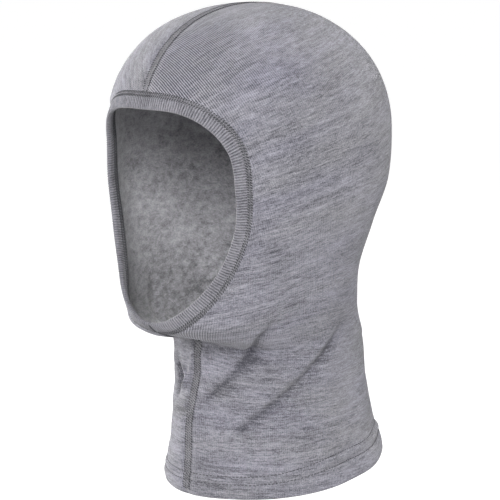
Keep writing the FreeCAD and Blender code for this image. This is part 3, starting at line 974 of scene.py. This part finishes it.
def beside_band(line, distance, out, height):
    """Points over the form at distances round the opening and away from its folded edge.

    The seam pulls the cloth in at the cheeks, so that the band flares from there to its fold.
    """
    point, side, normal = band_frame(line, distance)
    height = height - cheek_pull(point) * np.clip(out / BAND_WIDTH, 0, 1)
    feet = slide(point, side, normal, out[..., None])
    lift = outward(feet)
    lift = unit(side * np.sum(lift * side, -1, keepdims=True)
                + normal * np.sum(lift * normal, -1, keepdims=True))
    return feet + lift * height[..., None], lift


def band_profile():
    """Offsets and heights round one section of the folded rib, and how much the ribs show."""
    half = BAND_LAYER + 0.1
    flat = np.linspace(BAND_WIDTH, half, 9)
    fullness = 0.72 + 0.42 * smooth((BAND_WIDTH + 0.4 - flat) / 3.2)
    outer = [(d, BAND_MIDDLE + half * f, 1) for d, f in zip(flat, fullness)]
    fold = [
        (half - half * math.sin(a), BAND_MIDDLE + half * 1.14 * math.cos(a),
         0.45 + 0.55 * abs(math.cos(a)))
        for a in math.pi * np.arange(1, 8) / 8
    ]
    inner = [(d, BAND_MIDDLE - half * f, 1) for d, f in zip(flat[::-1], fullness[::-1])]
    gap = [(d, BAND_MIDDLE - 0.1, 0) for d in np.linspace(BAND_WIDTH, half, 5)]
    gap += [(d, BAND_MIDDLE + 0.1, 0) for d in np.linspace(half, BAND_WIDTH, 5)]
    return np.array(outer + fold + inner + gap)


def face_band(line, materials):
    """The rib band, folded over the edge, its two ends meeting under the chin."""
    length = line[1][-1]
    count = int(round(length / RIB_PERIOD)) * 6
    distance = np.linspace(0.3, length - 0.3, count + 1)[:, None]
    profile = band_profile()
    out, height, showing = profile.T
    ribs = RIB_RELIEF * np.cos(2 * math.pi * distance / RIB_PERIOD) * showing
    outside = np.sign(height - BAND_MIDDLE)
    body = 1 + 0.1 * band_wave(line, distance, 8)
    shifted = out + 0.3 * band_wave(line, distance, 9) * smooth((BAND_WIDTH - out) / 5)
    raised = BAND_MIDDLE + (height - BAND_MIDDLE) * body + outside * ribs
    points, _ = beside_band(line, distance + 0 * out, shifted, raised)
    loop, faces = tube(points)
    travelled = np.append(0, np.cumsum(np.hypot(np.diff(out), np.diff(height))))
    grain = np.stack(np.broadcast_arrays(distance, travelled, 0.0), -1)
    return make_piece("face_band_rib", loop, turned_over(faces), [materials["rib"]],
                      ["face_band"], grain=grain.transpose(1, 0, 2))


def face_seam(line, materials):
    """Two rows of slanted stitches over the band's edge, and the looper's zigzag inside."""
    length = line[1][-1]

    def raised(out, lift):
        over_band = BAND_MIDDLE + (BAND_LAYER + 0.1) * 0.9
        return lift + over_band + (0.02 - over_band) * smooth((out - 8.2) / 1.9)

    def over_seam(distance, swing):
        out = BAND_WIDTH + swing
        return beside_band(line, distance, out, raised(out, 0.18))

    def under_band(distance, swing):
        out = BAND_WIDTH - LOOPER_INSET + swing
        under = -2.0 + 0.4 * smooth((out - 7.4) / 1.6)
        return beside_band(line, distance, out, under - 0.3)

    parts = zigzag_pair(1.6, 1.0, length - 1.5, FACE_SEAM_WIDTH / 2, 0.17, over_seam)
    cover = thread_piece("face_seam_cover_threads", "face_seam_cover_thread",
                         materials["cover"], parts)
    parts = []
    t = STITCH_SAMPLES
    for middle in (-1.1, 1.1):
        starts = np.arange(1.0, length - 2.0, 1.5)[:, None] + (0.5 if middle > 0 else 0.0)
        distance = starts + 0.85 * t
        out = BAND_WIDTH + middle + 1.5 * (t - 0.5) + 0 * starts
        path, lift = beside_band(line, distance, out, raised(out, arch(t, 0.34, 0.1)))
        parts.append(thread_parts(path, lift, 0.42 * tapered(t, 0.75)))
    needles = thread_piece("face_seam_needle_stitches", "face_seam_needle_threads",
                           materials["thread"], parts)
    parts = zigzag_pair(1.8, 1.0, length - 1.5, FACE_SEAM_WIDTH / 2, 0.32, under_band)
    looper = thread_piece("face_seam_looper_threads", "face_seam_looper_thread",
                          materials["thread"], parts)
    return [cover, needles, looper]


def join_stitch(line, materials):
    """A bar of stitches across the gap between the band's two ends, under the chin."""
    length = line[1][-1]
    t = np.linspace(0, 1, 7)
    out = np.linspace(1.2, 7.0, 10)[:, None] + 0.3 * (t - 0.5)
    distance = (length + 1.7 * (t - 0.5)) % length + 0 * out
    height = BAND_MIDDLE + 1.35 + arch(t, 0.35, 0.2) + 0 * out
    path, lift = beside_band(line, distance, out, height)
    return thread_piece("face_band_join_stitches", "face_band_join_stitch",
                        materials["thread"], [thread_parts(path, lift, 0.34)])


# ==== hem ===================================================================================

def hem_ring(height_at):
    """Feet round the hem at a height that may vary with y, and the distance along them."""
    turn = np.linspace(0, math.pi, 240)
    y = panel_points(np.full(240, share_above_hem(12.0)), turn)[:, 1]
    left = panel_points(share_above_hem(height_at(y)), turn)
    ring = np.vstack([left, (left * np.array([-1, 1, 1]))[-2::-1]])
    return ring, travelled_along(ring)


def on_ring(ring, distance):
    return on_line(ring, np.mod(distance, ring[1][-1]))


def hem_threads(materials):
    """Two rows of short stitches round the hem, and the looper's zigzag over the turn-up's edge."""
    parts = []
    for row in (0, 1):
        ring = hem_ring(lambda y: hem_row_height(y, row))
        starts = np.arange(0.4 * row, ring[1][-1] - 2.0, 2.5)
        parts.append(stitches(lambda d, _: on_ring(ring, d), starts, 1.9, 0.27, 0.2))
    needles = thread_piece("hem_needle_stitches", "hem_needle_threads", materials["thread"], parts)
    low, high = hem_ring(lambda y: 0 * y + 9.5), hem_ring(lambda y: 0 * y + 19.0)

    def under_turn_up(distance, swing):
        mix = (0.5 + 0.5 * swing)[:, None]
        feet = on_ring(low, distance) * (1 - mix) + on_ring(high, distance) * mix
        return on_cloth(feet, -2 * CLOTH - 0.4 + 0 * swing)

    parts = zigzag_pair(2.6, 0.0, low[1][-1] - 3.0, 1.0, 0.18, under_turn_up)
    looper = thread_piece("hem_looper_threads", "hem_looper_thread", materials["cover"], parts)
    return [needles, looper]


# ==== care label ============================================================================

def care_label(materials):
    """A blank satin label, sewn along its top inside the nape and curling off the cloth below."""
    line = seam_line(0.0)
    top = line[1][-1] - LABEL_TOP
    width, height = LABEL_SIZE
    across = np.linspace(-width / 2, width / 2, 19)[None]
    down = np.linspace(0, height, 27)[:, None]
    feet = beside_seam(line, top + down, across)
    lift_off = 1.8 + 0.4 * np.cos(across / 4) * down / height + 2.2 * (down / height) ** 2
    lift_off = lift_off + 0.5 * near(np.abs(across) - width / 2, 3) * down / height
    front, normals = on_cloth(feet, -lift_off)
    back = front + normals * 0.25
    loop, faces = tube(np.concatenate([front, back[:, ::-1]], 1))
    both_faces = np.concatenate([across, across[:, ::-1]], 1)
    grain = np.stack(np.broadcast_arrays(both_faces, down, 0.0), -1)
    label = make_piece("care_label_satin", loop, faces, [materials["label"]],
                       ["care_label"], grain=grain.transpose(1, 0, 2))
    starts = np.arange(-width / 2 + 2, width / 2 - 3.5, 2.4)
    t = STITCH_SAMPLES
    feet = beside_seam(line, top + 3.0 + 0 * starts[:, None] * t, starts[:, None] + 1.9 * t)
    path, normals = on_cloth(feet, -2.05 - arch(t, 0.25, 0.0) + 0 * starts[:, None])
    stitch = thread_piece("care_label_stitches", "care_label_stitch", materials["thread"],
                          [thread_parts(path, normals, 0.2)])
    return [label, stitch]


# ==== stage, light and camera ===============================================================

CAMERA_AZIMUTH, CAMERA_ELEVATION = math.radians(43.5), math.radians(10.3)
CAMERA_DISTANCE = 1.2
VIEW_WIDTH = 0.3275             # what the frame spans at the object
TARGET = Vector((0, 0, -0.078))
FRAMING = 0.0013                # the object stands this far right of the frame's middle
FLOOR_Z = -0.53
LIGHT_DISTANCE, LIGHT_SIZE = 2.0, 0.9


def direction(azimuth, elevation):
    """Unit vector from the object towards a camera or light."""
    level = math.cos(elevation)
    return Vector((math.sin(azimuth) * level, -math.cos(azimuth) * level, math.sin(elevation)))


def aim(thing, place, target):
    thing.location = place
    thing.rotation_euler = (target - place).to_track_quat("-Z", "Y").to_euler()


def camera():
    data = bpy.data.cameras.new("camera")
    data.sensor_width = 36.0
    data.lens = 36.0 * CAMERA_DISTANCE / VIEW_WIDTH
    data.clip_end = 200
    made = linked("camera", data)
    right = Vector((math.cos(CAMERA_AZIMUTH), math.sin(CAMERA_AZIMUTH), 0))
    target = TARGET - right * FRAMING
    aim(made, target + direction(CAMERA_AZIMUTH, CAMERA_ELEVATION) * CAMERA_DISTANCE, target)
    bpy.context.scene.camera = made


def soft_light(name, azimuth, elevation, power):
    """A square lamp in watts, at angles in degrees, that shines on the object."""
    data = bpy.data.lights.new(name, "AREA")
    data.size = LIGHT_SIZE
    data.energy = power
    made = linked(name, data)
    way = direction(math.radians(azimuth), math.radians(elevation))
    aim(made, TARGET + way * LIGHT_DISTANCE, TARGET)


def white_room():
    """A world that is white at the horizon and dimmer overhead."""
    world = bpy.data.worlds.new("white_room")
    world.use_nodes = True
    tree = world.node_tree
    place = node(tree, "ShaderNodeTexCoord")
    height = node(tree, "ShaderNodeSeparateXYZ", {0: place.outputs["Generated"]}).outputs[2]
    fade = node(tree, "ShaderNodeMapRange", {0: height, 1: 0.09, 2: 0.2, 3: 1.0, 4: 0.05})
    tree.links.new(fade.outputs[0], tree.nodes["Background"].inputs[1])
    tree.nodes["Background"].inputs[0].default_value = (1, 1, 1, 1)
    bpy.context.scene.world = world


def stage():
    """A pale floor that glows as painted light, dimmer under the object, a white room and soft
    lights.
    """
    half = 60.0
    mesh = bpy.data.meshes.new("floor")
    corners = [(half * x, half * y, FLOOR_Z) for x, y in ((-1, -1), (1, -1), (1, 1), (-1, 1))]
    mesh.from_pydata(corners, [], [(0, 1, 2, 3)])
    floor = linked("floor", mesh)
    material = bpy.data.materials.new("glowing_floor")
    material.use_nodes = True
    tree = material.node_tree
    shader = tree.nodes["Principled BSDF"]
    shader.inputs["Base Color"].default_value = (0.3, 0.3, 0.3, 1)
    shader.inputs["Roughness"].default_value = 1.0
    shader.inputs["Specular IOR Level"].default_value = 0.0
    # the floor's glow is painted light: dim within 0.25 m of the point under the object, near white
    # from 0.8 m
    shader.inputs["Emission Color"].default_value = (1, 1, 1, 1)
    place = node(tree, "ShaderNodeTexCoord").outputs["Object"]
    away = node(tree, "ShaderNodeVectorMath", {0: place, 1: (0, 0, FLOOR_Z)}, operation="DISTANCE")
    fade = node(tree, "ShaderNodeMapRange",
                {0: away.outputs["Value"], 1: 0.25, 2: 0.8, 3: 0.3, 4: 0.98})
    tree.links.new(fade.outputs[0], shader.inputs["Emission Strength"])
    mesh.materials.append(material)
    white_room()
    soft_light("key_light", 33, 28, 60)
    soft_light("right_light", -75, 5, 55)
    soft_light("left_light", 90, 5, 14)
    soft_light("back_light", 175, 55, 21)
    bpy.context.scene.view_settings.view_transform = "Standard"


# ==== the balaclava =========================================================================

WORN_STRETCH = 1.06             # how much longer and wider the knit is worn than cut


def flat_size(along, across):
    """Width and length of the piece that a panel is cut from, in metres."""
    width, length = np.ptp(along) / WORN_STRETCH, (np.ptp(across) + TURN_UP) / WORN_STRETCH
    return float(width) * MM, float(length) * MM


def cut_area(outer):
    """Area of cloth in a panel before it is stretched, in square metres, with its turn-up."""
    down, beside = outer[1:] - outer[:-1], outer[:, 1:] - outer[:, :-1]
    cells = np.cross((down[:, 1:] + down[:, :-1]) / 2, (beside[1:] + beside[:-1]) / 2)
    hem = np.sum(np.linalg.norm(beside[-1], axis=-1)) * TURN_UP
    worn = np.sum(np.linalg.norm(cells, axis=-1)) + hem
    return float(worn) / WORN_STRETCH ** 2 * MM * MM


def build():
    camera()
    stage()
    materials = {
        "knit": knit_material(),
        "fleece": fleece_material(),
        "rib": rib_material(),
        "thread": thread_material("dark_thread", (0.012, 0.012, 0.015), (0.055, 0.055, 0.064)),
        "cover": thread_material("cover_thread", (0.06, 0.059, 0.067), (0.25, 0.246, 0.265)),
        "label": label_material(),
    }
    cloth = [materials["knit"], materials["fleece"]]
    left, flat, area = panel("left_panel_knit", 1, cloth, ["left_panel"])
    right, _, _ = panel("right_panel_knit", -1, cloth, ["right_panel"])
    line = opening_line()
    band = face_band(line, materials)
    face_threads = face_seam(line, materials) + [join_stitch(line, materials)]
    hem = hem_threads(materials)
    crown = centre_seam("crown_seam", 0.0, materials, 1.2, CROWN_SEAM_WIDTH, 0.12)
    throat = centre_seam("throat_seam", math.pi, materials, 1.2, THROAT_SEAM_WIDTH, 0.26)
    label, label_stitch = care_label(materials)


build()
